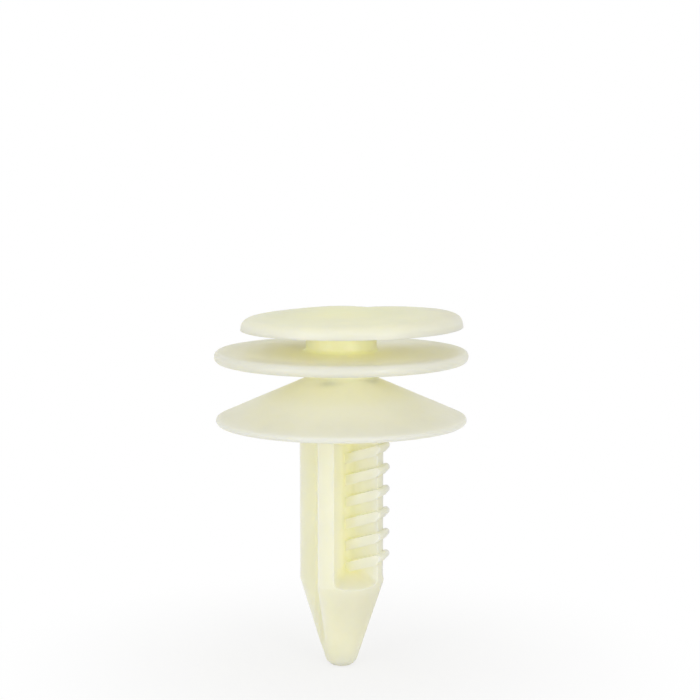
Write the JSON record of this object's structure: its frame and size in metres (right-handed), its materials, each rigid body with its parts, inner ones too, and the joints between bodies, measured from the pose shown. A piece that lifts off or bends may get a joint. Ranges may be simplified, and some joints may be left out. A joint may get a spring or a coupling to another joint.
{
  "type": "trim retainer",
  "caption": "Push-in nylon trim retainer: notched volute head, flat flange, springy cone skirt and a barbed cross-ribbed shank with a tapered tip.",
  "frame": {"origin": "on the retainer's axis in the plane of the skirt's rim, where the face of the body panel lies once the shank is pushed in", "axes": "+Z along the axis toward the head, +X to the barbed side; -Y is the side away from the notch"},
  "size_m": [0.019, 0.019, 0.0272],
  "materials": {
    "nylon": "natural translucent nylon as moulded, satin"
  },
  "bodies": {
    "root": {"retainer": "nylon"}
  },
  "joints": []
}
